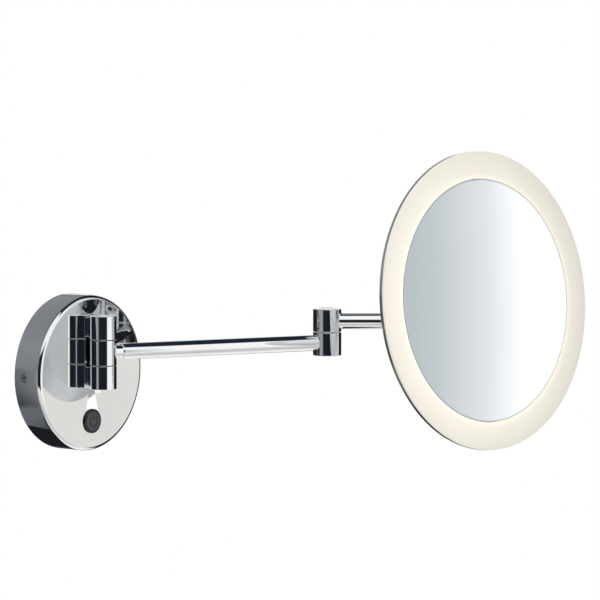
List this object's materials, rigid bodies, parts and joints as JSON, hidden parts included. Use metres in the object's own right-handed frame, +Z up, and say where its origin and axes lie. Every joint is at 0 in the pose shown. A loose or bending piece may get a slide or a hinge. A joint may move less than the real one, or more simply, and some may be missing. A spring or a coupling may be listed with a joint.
{
  "type": "extendable shaving mirror",
  "caption": "Wall-mounted round shaving mirror with a lit ring, on a jointed two-part swivel arm with a tilting head and a push switch in its round rose.",
  "frame": {"origin": "centre of the wall plate's back face, on the wall", "axes": "+Y into the wall (the back face's outward normal), +Z up; the arm and the mirror stand out towards -Y"},
  "size_m": [0.3902, 0.2523, 0.2271],
  "materials": {
    "chrome": "polished chrome plate on brass and pressed steel",
    "steel": "zinc-plated steel fixings and plate",
    "nylon": "natural nylon washers and bushes",
    "black_plastic": "charcoal satin plastic switch cap and bezel",
    "grey_plastic": "moulded grey plastic",
    "white_plastic": "moulded white plastic driver case",
    "led_board": "white solder mask with yellow LED packages",
    "foam": "adhesive foam",
    "mirror_glass": "silvered float glass",
    "frosted_diffuser": "frosted acrylic, lit from behind",
    "lead_jacket": "low-voltage lead jacket"
  },
  "bodies": {
    "wall_unit": {"wall_plate": "steel", "rose_cover": "chrome", "cover_screw_left": "steel", "cover_screw_right": "steel", "led_driver": "white_plastic", "terminal_block": "grey_plastic", "wall_lead": "lead_jacket", "switch_bezel": "black_plastic", "switch_nut": "steel", "switch_body": "grey_plastic", "wall_knuckle_upper": "chrome", "wall_knuckle_lower": "chrome", "knuckle_screw_upper": "steel", "knuckle_screw_lower": "steel", "wall_pin_upper": "steel", "wall_pin_lower": "steel", "knuckle_cap_upper": "chrome", "knuckle_cap_lower": "chrome", "wall_washer_upper": "nylon", "wall_washer_lower": "nylon"},
    "button": {"switch_button": "black_plastic"},
    "inner_arm": {"inner_hub": "chrome", "inner_tube": "chrome", "inner_lead": "lead_jacket", "elbow_lower_hub": "chrome", "elbow_cap_lower": "chrome", "elbow_bush": "nylon"},
    "outer_arm": {"elbow_upper_hub": "chrome", "elbow_pin": "steel", "elbow_spring_washer": "steel", "elbow_nut": "steel", "elbow_cap_upper": "chrome", "outer_tube": "chrome", "outer_lead": "lead_jacket", "head_lower_hub": "chrome", "head_cap_lower": "chrome", "head_bush": "nylon"},
    "head_swivel": {"head_upper_hub": "chrome", "head_pin": "steel", "head_spring_washer": "steel", "head_nut": "steel", "head_cap_upper": "chrome", "swivel_lead": "lead_jacket", "tilt_screw_left": "steel", "tilt_screw_right": "steel"},
    "mirror_head": {"mirror_bracket": "chrome", "tilt_washer_left": "nylon", "tilt_washer_right": "nylon", "bracket_screw_1": "steel", "bracket_screw_2": "steel", "bracket_screw_3": "steel", "bracket_screw_4": "steel", "back_pan": "chrome", "glass_carrier": "grey_plastic", "glass_pad": "foam", "mirror_glass": "mirror_glass", "diffuser_ring": "frosted_diffuser", "led_ring": "led_board", "mirror_lead": "lead_jacket"}
  },
  "joints": [
    {"name": "wall_hinge", "type": "hinge", "parent": "wall_unit", "child": "inner_arm", "pos_m": [0, -0.0363, 0.0164], "axis": [0, 0, 1], "range_deg": [-147.7, 22.3]},
    {"name": "elbow_hinge", "type": "hinge", "parent": "inner_arm", "child": "outer_arm", "pos_m": [0.16484, -0.12138, 0.0328], "axis": [0, 0, -1], "range_deg": [-151.8, 78.2]},
    {"name": "head_swivel_hinge", "type": "hinge", "parent": "outer_arm", "child": "head_swivel", "pos_m": [0.22255, -0.1929, 0.0492], "axis": [0, 0, 1], "range_deg": [-44.5, 135.5]},
    {"name": "head_tilt_hinge", "type": "hinge", "parent": "head_swivel", "child": "mirror_head", "pos_m": [0.22031, -0.21227, 0.0492], "axis": [-0.9934, 0.1149, 0], "range_deg": [-22, 18]},
    {"name": "button_press", "type": "slide", "parent": "wall_unit", "child": "button", "axis": [0, 1, 0], "range_m": [0, 0.0008], "stiffness_N_per_m": 1500, "springref_m": -0.0005}
  ]
}
